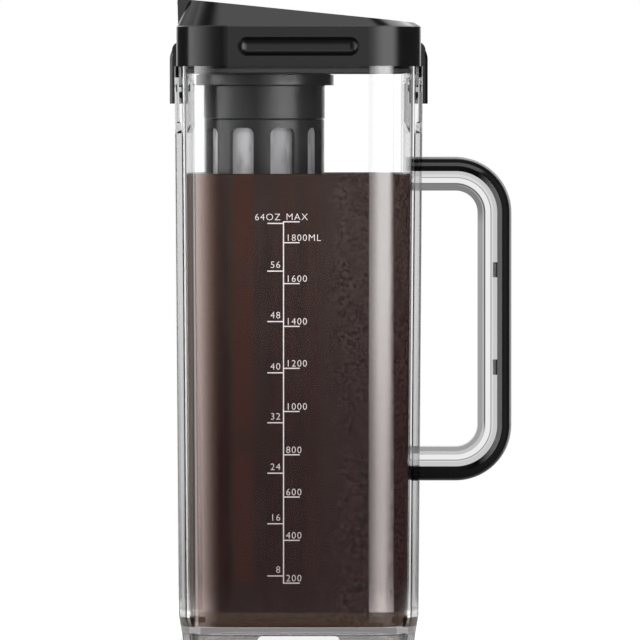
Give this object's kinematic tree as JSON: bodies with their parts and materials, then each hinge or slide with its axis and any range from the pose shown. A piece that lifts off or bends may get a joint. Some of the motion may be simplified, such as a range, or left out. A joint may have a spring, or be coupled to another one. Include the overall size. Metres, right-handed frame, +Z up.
{
  "type": "cold brew coffee maker",
  "caption": "Clear square pitcher with a C handle, a latched black lid with a flap over its spout, and a mesh coffee filter that hangs from the lid.",
  "frame": {"origin": "on the table, on the pitcher's upright axis, in the middle of its foot rim", "axes": "+Z up, +X towards the handle, -Y the front face"},
  "size_m": [0.161, 0.1164, 0.3041],
  "materials": {
    "clear_copolyester": "polished clear",
    "grip_black": "satin soft touch",
    "lid_black": "satin",
    "latch_black": "semi-gloss",
    "silicone_black": "satin",
    "pin_steel": "ground",
    "filter_black": "satin",
    "mesh_steel": "fine woven mesh"
  },
  "bodies": {
    "pitcher": {"pitcher_body": "clear_copolyester", "handle_core": "clear_copolyester", "handle_grip": "grip_black"},
    "lid": {"lid_band": "lid_black", "lid_plug": "lid_black", "lid_cover": "lid_black", "lid_gasket": "silicone_black", "latch_pin_left": "pin_steel", "latch_pin_right": "pin_steel", "flap_pin": "pin_steel", "filter_holder": "filter_black", "holder_seal": "silicone_black"},
    "latch_left": {"latch_left": "latch_black"},
    "latch_right": {"latch_right": "latch_black"},
    "pour_flap": {"pour_flap": "lid_black", "flap_seal": "silicone_black"},
    "filter_basket": {"filter_frame": "filter_black", "filter_mesh": "mesh_steel", "filter_base": "filter_black"}
  },
  "joints": [
    {"name": "lid_lift", "type": "slide", "parent": "pitcher", "child": "lid", "axis": [0, 0, 1], "range_m": [0, 0.262]},
    {"name": "latch_left_swing", "type": "hinge", "parent": "lid", "child": "latch_left", "pos_m": [-0.0556, 0, 0.2796], "axis": [0, 1, 0], "range_deg": [0, 90]},
    {"name": "latch_right_swing", "type": "hinge", "parent": "lid", "child": "latch_right", "pos_m": [0.0556, 0, 0.2796], "axis": [0, -1, 0], "range_deg": [0, 90]},
    {"name": "flap_hinge", "type": "hinge", "parent": "lid", "child": "pour_flap", "pos_m": [-0.00814, 0, 0.29689], "axis": [0, 1, 0], "range_deg": [0, 105]},
    {"name": "filter_twist", "type": "hinge", "parent": "lid", "child": "filter_basket", "pos_m": [-0.0165, 0, 0.25], "axis": [0, 0, 1], "range_deg": [0, 45]}
  ]
}
